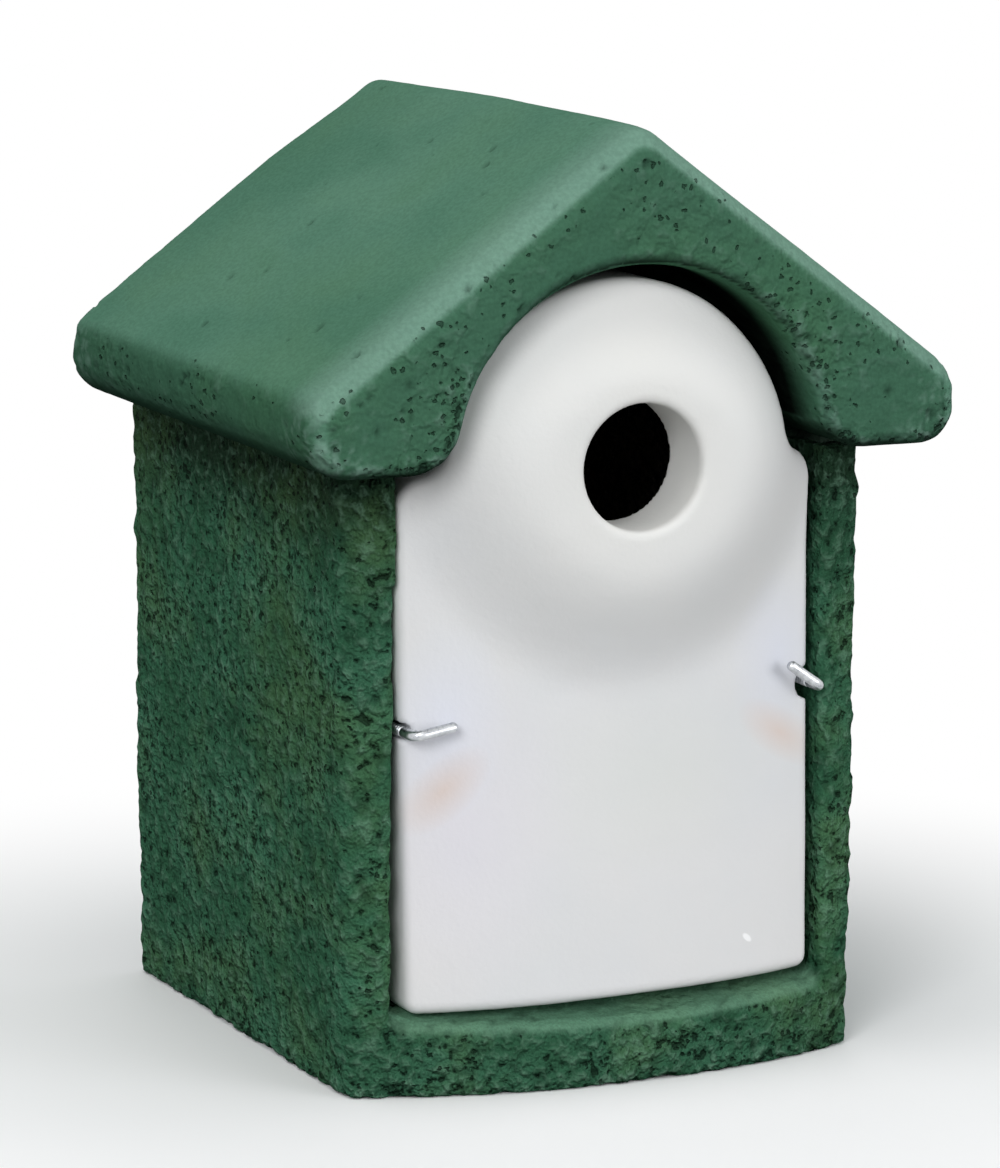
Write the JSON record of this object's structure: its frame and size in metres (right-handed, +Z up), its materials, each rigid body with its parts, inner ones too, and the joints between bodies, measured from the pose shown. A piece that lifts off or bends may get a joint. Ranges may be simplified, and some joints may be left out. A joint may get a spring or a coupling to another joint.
{
  "type": "nest box",
  "caption": "Gabled cast wood-concrete nest box for small birds: a lift-off front plate with a round entrance hole, held by turning screw hooks, hung on a keyhole plate in its back.",
  "frame": {"origin": "centre of the overall outline in plan, on the surface that the foot stands on", "axes": "+Z up, +X to the viewer's right when facing the entrance hole, -Y out of the front"},
  "size_m": [0.178, 0.1724, 0.244],
  "materials": {
    "green_body": "matte, pitted, dark green",
    "green_roof": "smooth satin, mid green",
    "mortar": "matte",
    "grey_plate": "smooth matte, pale grey",
    "zinc": "bright zinc plate",
    "plug": "matte"
  },
  "bodies": {
    "box": {"body_casting": "green_body", "roof_casting": "green_roof", "roof_mortar_bed": "mortar", "left_hook_plug": "plug", "right_hook_plug": "plug", "hanger_plate": "zinc", "hanger_screws": "zinc", "hanger_screw_plugs": "plug"},
    "front": {"front_plate": "grey_plate"},
    "left_hook": {"left_hook": "zinc"},
    "right_hook": {"right_hook": "zinc"}
  },
  "joints": [
    {"name": "front_lift_off", "type": "slide", "parent": "box", "child": "front", "axis": [0, -1, 0], "range_m": [0, 0.12]},
    {"name": "left_hook_turn", "type": "hinge", "parent": "front", "child": "left_hook", "pos_m": [-0.0566, -0.065, 0.0937], "axis": [0, -1, 0], "range_deg": [0, 171]},
    {"name": "right_hook_turn", "type": "hinge", "parent": "front", "child": "right_hook", "pos_m": [0.0566, -0.065, 0.0978], "axis": [0, 1, 0], "range_deg": [0, 145]}
  ]
}
